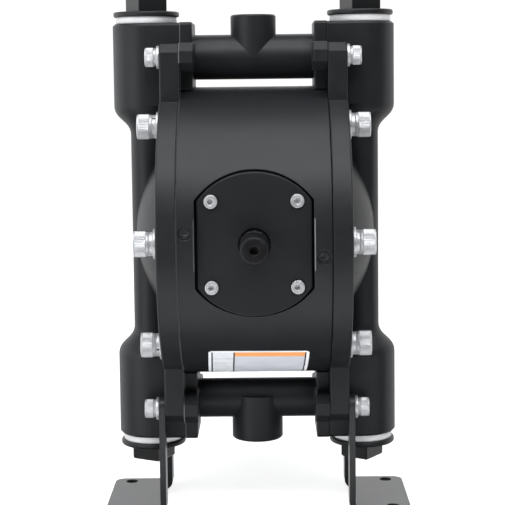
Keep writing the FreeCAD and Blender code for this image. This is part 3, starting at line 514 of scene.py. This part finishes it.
def softened(points, size):
    """A profile of (height, radius) with each inner corner rounded by about this size."""
    path = [Vector(point) for point in points]
    soft = [path[0]]
    for before, corner, after in zip(path, path[1:], path[2:]):
        start = corner + (before - corner) * min(CORNER_LIMIT, size / (before - corner).length)
        end = corner + (after - corner) * min(CORNER_LIMIT, size / (after - corner).length)
        for step in range(CORNER_STEPS + 1):
            share = step / CORNER_STEPS
            soft.append(start.lerp(corner, share).lerp(corner.lerp(end, share), share))
    soft.append(path[-1])
    return [(point[0], circle(point[1])) for point in soft]


def make_object(build, name, material, smooth_angle=None):
    """Turn a build into an object, flat or smooth up to this angle in degrees."""
    mesh = bpy.data.meshes.new(name)
    build.to_mesh(mesh)
    build.free()
    if smooth_angle is not None:
        mesh.shade_smooth()
        mesh.set_sharp_from_angle(angle=math.radians(smooth_angle))
    mesh.materials.append(material)
    piece = bpy.data.objects.new(name, mesh)
    bpy.context.scene.collection.objects.link(piece)
    return piece


def finish_piece(build, name, node, slot, smooth_angle, flexes=None):
    """Turn a build into a piece that stands for a CAD node.

    It rides on the pump's body, unless flexes is given: then it is left unattached, with its transform
    baked.
    """
    bmesh.ops.recalc_face_normals(build, faces=build.faces)
    piece = make_object(build, name, FINISHES[slot], smooth_angle)
    if flexes:
        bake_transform(piece)
    else:
        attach(piece, "pump_body")
    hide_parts(node)


# Diaphragms

SLICES = 12                 # of a diaphragm, each along its own radius
SLICE_CUTS = 14             # across a slice
CLAMPED_HUB = 25.0 * MM     # the plates hold a diaphragm within this radius
CLAMPED_RIM = 11.0 * MM     # the cap holds this width of its rim
SAME_RUBBER = 0.001 * MM    # points this close in its CAD mesh are one


def split(build, point, normal, drop_front=False):
    """Cut a build by a plane. With drop_front, what is in front goes and the cut is closed."""
    everything = build.verts[:] + build.edges[:] + build.faces[:]
    bmesh.ops.bisect_plane(
        build, geom=everything, plane_co=point, plane_no=normal, clear_outer=drop_front
    )
    if drop_front:
        bmesh.ops.holes_fill(build, edges=[edge for edge in build.edges if edge.is_boundary])


def add_diaphragm(node):
    """A diaphragm in slices, each cut into rings between its clamped hub and its clamped rim."""
    low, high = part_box(node)
    centre = (low + high) / 2
    solid = frame["nodes"][node]
    half = math.pi / SLICES
    still = ((high.z - low.z) / 2 - CLAMPED_RIM) * math.cos(half)
    for number in range(SLICES):
        turn = 2 * half * number
        along = Vector((0.0, math.cos(turn), math.sin(turn)))
        build = bmesh.new()
        build.from_mesh(solid.data)
        build.transform(solid.matrix_world)
        bmesh.ops.remove_doubles(build, verts=build.verts, dist=SAME_RUBBER)
        for side in (-1, 1):
            edge = turn + side * half
            normal = Vector((0.0, -math.sin(edge), math.cos(edge))) * side
            split(build, centre, normal, drop_front=True)
        for cut in range(1, SLICE_CUTS):
            radius = CLAMPED_HUB + (still - CLAMPED_HUB) * cut / SLICE_CUTS
            split(build, centre + along * radius, along)
        flexes = (centre + along * still, centre + along * CLAMPED_HUB)
        finish_piece(build, f"{node}_slice_{number + 1}", node, "black_rubber", SMOOTH_RUBBER, flexes)


add_diaphragm("left_diaphragm")
add_diaphragm("right_diaphragm")


# Screws and washers

KEY_DEPTH = 0.5             # of a socket, as a share of the head
KEY_CONE = 0.12             # of the drill's cone under it, as a share of the head
KEY_TAPER = 0.995           # its floor is this much narrower
KEY_MOUTH = 0.1 * MM        # the round mouth clears the hexagon's corners by this
KEY_CHAMFER = 0.35 * MM     # depth of the mouth
KNURL_DEPTH = 0.22 * MM
HEAD_RIM = 0.7 * MM         # bright turned rim at the top of a head
HEAD_CHAMFER = 0.3 * MM
HEAD_BASE = 1.3 * MM        # smooth ring at its foot
SMALL_BASE = 0.2            # of a small head, as a share of it
HEAD_GROOVE = 0.35 * MM     # groove between the ring and the knurl
BASE_TAPER = 0.55 * MM      # the smooth ring narrows this much towards the seat
THREAD_CHAMFER = 0.8 * MM
THREAD_POINT = 0.7 * MM     # the shank's end is this much smaller
HEAD_SOFTNESS = 0.12 * MM
BASE_SOFTNESS = 0.15 * MM
# Head height, key across flats, thread radius and teeth of each size of screw
SCREW_SIZES = {
    "cap_screws": (8.0 * MM, 6.0 * MM, 3.95 * MM, 48),
    "manifold_screws": (6.0 * MM, 5.0 * MM, 2.95 * MM, 48),
    "cover_screws": (4.0 * MM, 3.0 * MM, 1.95 * MM, 32),
}


def turn_screw(build, box, outward, head_height, key, thread, teeth):
    """Socket head cap screw: socket, turned rim, knurled band, groove, smooth base and shank."""
    place = stand(box, outward, head_height)
    radius = radius_across(box, outward)
    shank_end = head_height - length_along(box, outward)
    floor = head_height * (1 - KEY_DEPTH)
    mouth = key / math.sqrt(3) + KEY_MOUTH
    base = min(HEAD_BASE, head_height * SMALL_BASE)
    knurl_end = head_height - HEAD_RIM - 0.1 * MM
    knurl_start = base + HEAD_GROOVE
    teeth_outline = knurled(radius, KNURL_DEPTH, teeth)
    rings = [
        (floor - KEY_CONE * head_height, None),
        (floor, hexagon(key * KEY_TAPER)),
        (floor + 0.1 * MM, hexagon(key)),
        (head_height - KEY_CHAMFER, hexagon(key)),
        (head_height - 0.02 * MM, circle(mouth)),
        (head_height, circle(mouth + 0.08 * MM)),
    ]
    rings += softened([
        (head_height, mouth + 0.2 * MM),
        (head_height, radius - HEAD_CHAMFER),
        (head_height - HEAD_CHAMFER, radius - 0.05 * MM),
        (head_height - HEAD_RIM, radius - 0.05 * MM),
        (knurl_end, radius - 0.25 * MM),
    ], HEAD_SOFTNESS)
    rings += [
        (knurl_end - 0.06 * MM, teeth_outline),
        (knurl_start + 0.1 * MM, teeth_outline),
    ]
    rings += softened([
        (knurl_start, radius - 0.3 * MM),
        (base + 0.12 * MM, radius - 0.8 * MM),
        (base, radius - 0.2 * MM),
        (0.25 * MM, radius - BASE_TAPER),
        (0.0, radius - BASE_TAPER - 0.2 * MM),
        (0.0, thread + 0.3 * MM),
        (-0.3 * MM, thread),
        (shank_end + THREAD_CHAMFER, thread),
        (shank_end, thread - THREAD_POINT),
        (shank_end, 0.3 * thread),
    ], BASE_SOFTNESS)
    rings.append((shank_end, None))
    turned(build, rings, place)


WASHER_SOFTNESS = 0.35 * MM


def turn_washer(build, box, outward, bore):
    """Stamped flat washer with soft rims."""
    place = stand(box, outward)
    rim = radius_across(box, outward)
    thickness = length_along(box, outward)
    rings = softened([
        (-thickness / 2, bore),
        (0.0, bore),
        (0.0, rim),
        (-thickness, rim),
        (-thickness, bore),
        (-thickness / 2, bore),
    ], WASHER_SOFTNESS)
    turned(build, rings[:-1], place, closed=True)


SPLIT = math.radians(9.0)   # gap of a split washer
SPRING = 0.12 * MM          # its ends stand this far out of line
SPLIT_STEPS = TURN_STEPS // 2
# The corners of its section, and how far out each end of a corner's chamfer is
SECTION_CORNERS = ((1, 1), (1, -1), (-1, -1), (-1, 1))
SECTION_CHAMFER = ((1.0, 0.8), (0.75, 1.0))


def turn_lock_washer(build, box, outward, bore, turn):
    """Split spring washer, pressed nearly flat, with its gap turned to this angle."""
    place = stand(box, outward)
    rim = radius_across(box, outward)
    thickness = length_along(box, outward) - SPRING
    middle = (bore + rim) / 2
    half = (rim - bore) / 2
    section = []
    for across, up in SECTION_CORNERS:
        chamfer = SECTION_CHAMFER
        if across != up:
            chamfer = reversed(SECTION_CHAMFER)
        for share_across, share_up in chamfer:
            section.append((middle + across * half * share_across, up * thickness / 2 * share_up))
    rows = []
    for step in range(SPLIT_STEPS + 1):
        share = step / SPLIT_STEPS
        angle = turn + SPLIT / 2 + (math.tau - SPLIT) * share
        lift = -(thickness + SPRING) / 2 + SPRING * (share - 0.5)
        row = []
        for radius, height in section:
            corner = Vector((radius * math.cos(angle), radius * math.sin(angle), height + lift))
            row.append(build.verts.new(place @ corner))
        rows.append(row)
    count = len(section)
    for near, far in zip(rows, rows[1:]):
        for step in range(count):
            after = (step + 1) % count
            build.faces.new((near[step], near[after], far[after], far[step]))
    build.faces.new(rows[0])
    build.faces.new(rows[-1])


CAP_WASHER_BORE = 4.2 * MM
LOCK_WASHER_BORE = 4.1 * MM
MANIFOLD_WASHER_BORE = 3.2 * MM
LOCK_WASHER_SEED = 8


def add_screws(node, kind, outward):
    build = bmesh.new()
    for box in solids_of(node):
        turn_screw(build, box, outward, *SCREW_SIZES[kind])
    finish_piece(build, node + "_turned", node, "stainless_screws", SMOOTH_SCREW)


def add_washers(node, outward, bore):
    build = bmesh.new()
    for box in solids_of(node):
        turn_washer(build, box, outward, bore)
    finish_piece(build, node + "_stamped", node, "stainless_screws", SMOOTH_WASHER)


def add_lock_washers(node, outward, bore):
    """Split washers, each with its gap at an angle of its own."""
    build = bmesh.new()
    turns = random.Random(LOCK_WASHER_SEED)
    for box in solids_of(node):
        turn_lock_washer(build, box, outward, bore, turns.uniform(0.0, math.tau))
    finish_piece(build, node + "_split", node, "stainless_screws", SMOOTH_WASHER)


def add_fasteners():
    add_screws("cover_screws", "cover_screws", FRONT)
    for side, outward in (("left", Vector((-1.0, 0.0, 0.0))), ("right", Vector((1.0, 0.0, 0.0)))):
        add_screws(side + "_cap_screws", "cap_screws", outward)
        add_screws(side + "_manifold_screws", "manifold_screws", outward)
        add_washers(side + "_cap_washers", outward, CAP_WASHER_BORE)
        add_washers(side + "_manifold_washers", outward, MANIFOLD_WASHER_BORE)
        add_lock_washers(side + "_cap_lock_washers", outward, LOCK_WASHER_BORE)


# Seal rings

RING_BULGE = 0.3 * MM       # the squeezed rings stand out this far in the middle
RING_LIP = 0.3 * MM         # flat part of their top and bottom beside the bulge
RING_WIDTH = 5.0 * MM
RING_STEPS = 12             # rings of points down the bulge
RING_FULLNESS = 0.6         # less is a squarer bulge


def add_seal_ring(node):
    """White ring squeezed between a plug's flange and the chamber, with a soft bulge."""
    build = bmesh.new()
    for box in solids_of(node):
        rim = radius_across(box, UP)
        thickness = length_along(box, UP)
        bore = circle(rim - RING_WIDTH)
        lip = circle(rim - RING_BULGE - RING_LIP)
        rings = [(0.0, bore), (0.0, lip)]
        for step in range(RING_STEPS + 1):
            share = step / RING_STEPS
            swell = math.sin(math.pi * share) ** RING_FULLNESS
            rings.append((-thickness * share, circle(rim - RING_BULGE * (1 - swell))))
        rings += [(-thickness, lip), (-thickness, bore)]
        turned(build, rings, stand(box, UP), closed=True)
    finish_piece(build, node + "_squeezed", node, "white_ptfe", SMOOTH_RING)


# Exhaust muffler

MUFFLER_FACETS = 12
MUFFLER_RADIUS = 6.9 * MM   # of its round nose
MUFFLER_HOLE = 2.0 * MM     # radius of its outlet
MUFFLER_STUB = 4.8 * MM     # radius of its threaded end
MUFFLER_COLLAR = 6.4 * MM   # length of the faceted collar in front of the cover
MUFFLER_SEAT = 7.0 * MM     # and behind its front
FACET_HEIGHT = 0.42 * MM    # the collar's flats stand out this far from the nose
FACET_START = 0.1 * MM      # and this far where they start
NOSE_GROOVE = 0.35 * MM     # depth of the groove between the nose and the collar
HOLE_DEPTH = (2.5 * MM, 3.0 * MM, 4.0 * MM)     # of the outlet's wall, its floor and its cone
HOLE_TAPER = 0.96
NOSE_SOFTNESS = 0.5 * MM
STUB_SOFTNESS = 0.2 * MM


def add_muffler():
    """Threaded stub with a faceted collar, a round nose and a small outlet hole."""
    build = bmesh.new()
    box = solids_of("exhaust_muffler")[0]
    cover_front = -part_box("valve_cover")[0].y
    length = length_along(box, FRONT)
    place = stand(box, FRONT, length)
    radius = MUFFLER_RADIUS
    hole = MUFFLER_HOLE
    collar_end = cover_front + MUFFLER_COLLAR + box[1].y
    seat = collar_end - MUFFLER_COLLAR - MUFFLER_SEAT
    flat = faceted(radius + FACET_HEIGHT, MUFFLER_FACETS)
    low_flat = faceted(radius + FACET_START, MUFFLER_FACETS)
    wall, floor, cone = HOLE_DEPTH
    rings = [(length - cone, None), (length - floor, circle(hole * HOLE_TAPER))]
    rings += softened([
        (length - wall, hole),
        (length - 0.35 * MM, hole),
        (length, hole + 0.35 * MM),
        (length, radius - 1.3 * MM),
        (length - 0.45 * MM, radius - 0.4 * MM),
        (length - 1.3 * MM, radius),
        (collar_end + 1.0 * MM, radius),
        (collar_end + 0.6 * MM, radius - NOSE_GROOVE),
        (collar_end + 0.2 * MM, radius - NOSE_GROOVE),
    ], NOSE_SOFTNESS)
    rings += [
        (collar_end + 0.1 * MM, low_flat),
        (collar_end - 0.35 * MM, flat),
        (seat, flat),
    ]
    rings += softened([
        (seat, radius - 0.5 * MM),
        (seat, MUFFLER_STUB),
        (0.5 * MM, MUFFLER_STUB),
        (0.0, MUFFLER_STUB - 0.5 * MM),
        (0.0, 1.0 * MM),
    ], STUB_SOFTNESS)
    rings.append((0.0, None))
    turned(build, rings, place)
    finish_piece(build, "exhaust_muffler_turned", "exhaust_muffler", "muffler_plastic", SMOOTH_MUFFLER)


# Label

LABEL_LEFT = -24.5 * MM
LABEL_RIGHT = 27.6 * MM
LABEL_TOP = math.radians(47.8)      # below the drum's front line
LABEL_BOTTOM = math.radians(82.0)
LABEL_LEAN = 0.035                  # its sides lean this much towards the left going down
LABEL_DROP = 0.012                  # and its top falls this much towards the right
LABEL_LIFT = 0.10 * MM
LABEL_CORNER = 1.6 * MM
LABEL_COLUMNS = 64
LABEL_ROWS = 48
LABEL_SINK = 0.02 * MM              # its edge goes this far into the drum

# What is printed on it, in mm: plain fields and lines, no words
LABEL_RIM = 1.5             # pale rim
LABEL_LINE = 0.75           # dark lines of the frame
LABEL_DIVIDER = 12.9        # from the left edge
LABEL_STRIP = (1.3, 5.6)    # orange strip, from the top edge
LABEL_CELLS = (8.4, 13.8)   # grey rules across the left field, from the top edge
LABEL_RULE = 0.3            # width of such a rule

LABEL_SILVER = ((0.60, 0.61, 0.64), (0.70, 0.71, 0.73))
LABEL_LEFT_GREY = (0.40, 0.41, 0.44)
LABEL_RIGHT_GREY = (0.40, 0.41, 0.45)
LABEL_RULE_GREY = (0.08, 0.08, 0.09)
LABEL_ORANGE = (0.72, 0.29, 0.09)
LABEL_BLACK = (0.02, 0.02, 0.023)


def label_finish(width, height):
    """Bare silver sticker: pale ground, thin dark frame, a divider and a plain orange strip."""
    finish = Finish("label")
    spot = finish.node("UVMap", {"uv_map": "print"})
    parts = finish.node("SeparateXYZ", None, {0: spot})
    wide = width / MM
    tall = height / MM
    across = finish.pick(parts, "X") * wide
    down = finish.pick(parts, "Y") * tall
    right_line = wide - LABEL_RIM - LABEL_LINE
    strip_top, strip_end = LABEL_STRIP
    inside = down.within(strip_top, tall - strip_top)
    frame_lines = (
        across.within(LABEL_RIM, LABEL_RIM + LABEL_LINE)
        + across.within(LABEL_DIVIDER, LABEL_DIVIDER + LABEL_LINE)
        + across.within(right_line, wide - LABEL_RIM)
    )
    left_field = across.within(LABEL_RIM + LABEL_LINE, LABEL_DIVIDER)
    right_part = across.within(LABEL_DIVIDER + LABEL_LINE, right_line)
    orange = right_part * down.within(strip_top, strip_end)
    right_field = right_part * down.within(strip_end, tall)
    rules = sum(down.within(cell, cell + LABEL_RULE) for cell in LABEL_CELLS)
    fade = finish.noise(0.009, 3.0, 0.55)
    ground = finish.mix(fade.between(0.35, 0.65), *LABEL_SILVER)
    ground = finish.mix(left_field * inside * 0.35, ground, LABEL_LEFT_GREY)
    ground = finish.mix(right_field * 0.75, ground, LABEL_RIGHT_GREY)
    ground = finish.mix(rules * left_field * 0.8, ground, LABEL_RULE_GREY)
    ground = finish.mix(orange, ground, LABEL_ORANGE)
    ground = finish.mix(frame_lines * inside, ground, LABEL_BLACK)
    grain = finish.noise(0.0008, 2.0, 0.6)
    return finish.surface(
        Base_Color=ground,
        Roughness=0.42 + (grain - 0.5) * 0.10,
        Specular_IOR_Level=0.5,
        Normal=finish.bump(finish.noise(0.012, 2.0, 0.5), 0.00006),
    )


def add_label():
    """A thin sticker wrapped round the drum's lower front, with round corners."""
    low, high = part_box("centre_housing")
    axis_height = (low.z + high.z) / 2
    radius = (high.z - low.z) / 2
    height = radius * (LABEL_BOTTOM - LABEL_TOP)
    width = LABEL_RIGHT - LABEL_LEFT
    build = bmesh.new()
    layer = build.loops.layers.uv.new("print")
    rows = []
    for row in range(LABEL_ROWS + 1):
        down = row / LABEL_ROWS * height
        nearest = min(down, height - down)
        inset = 0.0
        if nearest < LABEL_CORNER:
            inset = LABEL_CORNER - math.sqrt(LABEL_CORNER ** 2 - (LABEL_CORNER - nearest) ** 2)
        reach = radius + LABEL_LIFT
        line = []
        for column in range(LABEL_COLUMNS + 1):
            across = inset + (width - 2 * inset) * column / LABEL_COLUMNS
            angle = LABEL_TOP + (down + across * LABEL_DROP) / radius
            place = LABEL_LEFT + across - down * LABEL_LEAN
            corner = Vector((place, -reach * math.cos(angle), axis_height - reach * math.sin(angle)))
            line.append((build.verts.new(corner), across / width, down / height))
        rows.append(line)
    for near, far in zip(rows, rows[1:]):
        for step in range(LABEL_COLUMNS):
            corners = [near[step], far[step], far[step + 1], near[step + 1]]
            face = build.faces.new([corner[0] for corner in corners])
            for loop, corner in zip(face.loops, corners):
                loop[layer].uv = (corner[1], corner[2])
    rim = [edge for edge in build.edges if edge.is_boundary]
    skirt = bmesh.ops.extrude_edge_only(build, edges=rim)
    for vert in skirt["geom"]:
        if isinstance(vert, bmesh.types.BMVert):
            out = Vector((0.0, vert.co.y, vert.co.z - axis_height))
            foot = Vector((vert.co.x, 0.0, axis_height))
            vert.co = foot + out.normalized() * (radius - LABEL_SINK)
    piece = make_object(build, "label", label_finish(width, height), SMOOTH_LABEL)
    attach(piece, "pump_body")


add_fasteners()
for side in SIDES:
    add_seal_ring(side + "_outlet_plug_seal")
    add_seal_ring(side + "_inlet_plug_seal")
add_muffler()
add_label()


# Studio

STAGE_RADIUS = 8.0
FLOOR_STEPS = 96
WALL_STEPS = 48
WALL_GLOW = 1.05
FLOOR_GLOW = 0.80
FAR_FLOOR_GLOW = 1.05
LAMP_REACH = (0.2, 1.4)     # the floor's glow grows between these distances
FLOOR_GAP = 0.0001          # between the floor and the feet
WORLD_LIGHT = 0.03
DAYLIGHT = (0.955, 0.975, 1.0)
MIDDLE = (0.0, 0.0, 0.151)  # of the pump

# Name, place, size and power of each softbox that faces the pump
SOFTBOXES = (
    ("left softbox", (-1.1, -0.15, 0.40), (0.9, 1.0), 2.4),
    ("front left softbox", (-0.9, -0.9, 0.15), (0.6, 0.6), 3.2),
    ("behind left softbox", (-1.0, 0.7, 0.20), (0.8, 0.8), 0.9),
    ("front top softbox", (0.0, -0.611, 0.879), (1.2, 0.22), 5.9),
    ("top softbox", (0.0, -0.165, 1.087), (1.2, 0.22), 4.4),
    ("back softbox", (0.0, 1.0, 0.7), (1.2, 0.8), 2.9),
)


def add_camera():
    """The camera where the photograph was taken, built up from its yaw, pitch and roll."""
    data = bpy.data.cameras.new("camera")
    data.lens = CAMERA_LENS
    data.sensor_width = CAMERA_SENSOR
    data.shift_y = CAMERA_SHIFT_Y
    data.clip_start, data.clip_end = CAMERA_REACH
    ahead = Vector((
        math.sin(CAMERA_YAW) * math.cos(CAMERA_PITCH),
        math.cos(CAMERA_YAW) * math.cos(CAMERA_PITCH),
        math.sin(CAMERA_PITCH),
    ))
    right = Vector((math.cos(CAMERA_YAW), -math.sin(CAMERA_YAW), 0.0))
    up = right.cross(ahead)
    across = right * math.cos(CAMERA_ROLL) + up * math.sin(CAMERA_ROLL)
    upward = up * math.cos(CAMERA_ROLL) - right * math.sin(CAMERA_ROLL)
    camera = bpy.data.objects.new("camera", data)
    aim = Matrix((across, upward, -ahead)).transposed().to_4x4()
    camera.matrix_world = Matrix.Translation(CAMERA_PLACE) @ aim
    bpy.context.scene.collection.objects.link(camera)
    bpy.context.scene.camera = camera


def add_softbox(name, place, target, size, power):
    """A rectangular lamp that faces its target and doesn't show itself."""
    data = bpy.data.lights.new(name, "AREA")
    data.shape = "RECTANGLE"
    data.size, data.size_y = size
    data.energy = power
    data.color = DAYLIGHT
    lamp = bpy.data.objects.new(name, data)
    lamp.location = place
    lamp.rotation_euler = (Vector(target) - Vector(place)).to_track_quat("-Z", "Y").to_euler()
    lamp.visible_camera = False
    bpy.context.scene.collection.objects.link(lamp)


def wall_finish(name):
    """A white wall that glows evenly."""
    finish = Finish(name)
    return finish.surface(
        Base_Color=(0.0, 0.0, 0.0),
        Roughness=0.9,
        Specular_IOR_Level=0.0,
        Emission_Color=(1.0, 1.0, 1.0),
        Emission_Strength=WALL_GLOW,
    )


def floor_finish():
    """Pale table. Its own glow is stronger further out, where the lamps don't reach."""
    finish = Finish("pale floor")
    distance = finish.node("VectorMath", {"operation": "LENGTH"}, {0: finish.place()}, out="Value")
    near = 3 * (FLOOR_GLOW,)
    far = 3 * (FAR_FLOOR_GLOW,)
    return finish.surface(
        Base_Color=(0.8, 0.8, 0.8),
        Roughness=0.9,
        Specular_IOR_Level=0.0,
        Emission_Color=finish.mix(distance.between(*LAMP_REACH), near, far),
        Emission_Strength=1.0,
    )


def add_stage(name, build, material, lights_pump, in_gloss):
    """A piece of the stage, which may light the pump and may show in its gloss."""
    piece = make_object(build, name, material)
    piece.visible_diffuse = lights_pump
    piece.visible_glossy = in_gloss
    return piece


def add_floor():
    """A round table under the feet. It lights the pump, but doesn't show in its gloss."""
    build = bmesh.new()
    bmesh.ops.create_circle(build, cap_ends=True, segments=FLOOR_STEPS, radius=STAGE_RADIUS)
    bmesh.ops.translate(build, verts=build.verts, vec=(0.0, 0.0, cad_low[2] - FLOOR_GAP))
    add_stage("floor", build, floor_finish(), True, False)


def add_wall(name, start, end, in_gloss):
    """Part of a round white wall, far outside the lights, between two angles."""
    build = bmesh.new()
    rows = []
    for step in range(WALL_STEPS + 1):
        angle = math.radians(start + (end - start) * step / WALL_STEPS)
        across = STAGE_RADIUS * math.cos(angle)
        along = STAGE_RADIUS * math.sin(angle)
        foot = build.verts.new((across, along, -STAGE_RADIUS))
        head = build.verts.new((across, along, STAGE_RADIUS))
        rows.append((foot, head))
    for near, far in zip(rows, rows[1:]):
        build.faces.new((near[0], far[0], far[1], near[1]))
    wall = add_stage(name, build, wall_finish(name), False, in_gloss)
    wall.visible_shadow = False


def set_world():
    """Dim even light. The softboxes give the rest."""
    world = bpy.data.worlds.new("studio")
    world.use_nodes = True
    ground = world.node_tree.nodes["Background"]
    ground.inputs["Color"].default_value = DAYLIGHT + (1.0,)
    ground.inputs["Strength"].default_value = WORLD_LIGHT
    bpy.context.scene.world = world


add_camera()
add_floor()
add_wall("back wall", 0.0, 180.0, True)
add_wall("front wall", 180.0, 360.0, False)
set_world()
for name, place, size, power in SOFTBOXES:
    add_softbox(name, place, MIDDLE, size, power)
add_softbox("table bounce", (0.0, -0.22, 0.002), (0.0, -0.22, 0.151), (0.7, 0.26), 0.56)
bpy.context.scene.view_settings.view_transform = "Standard"
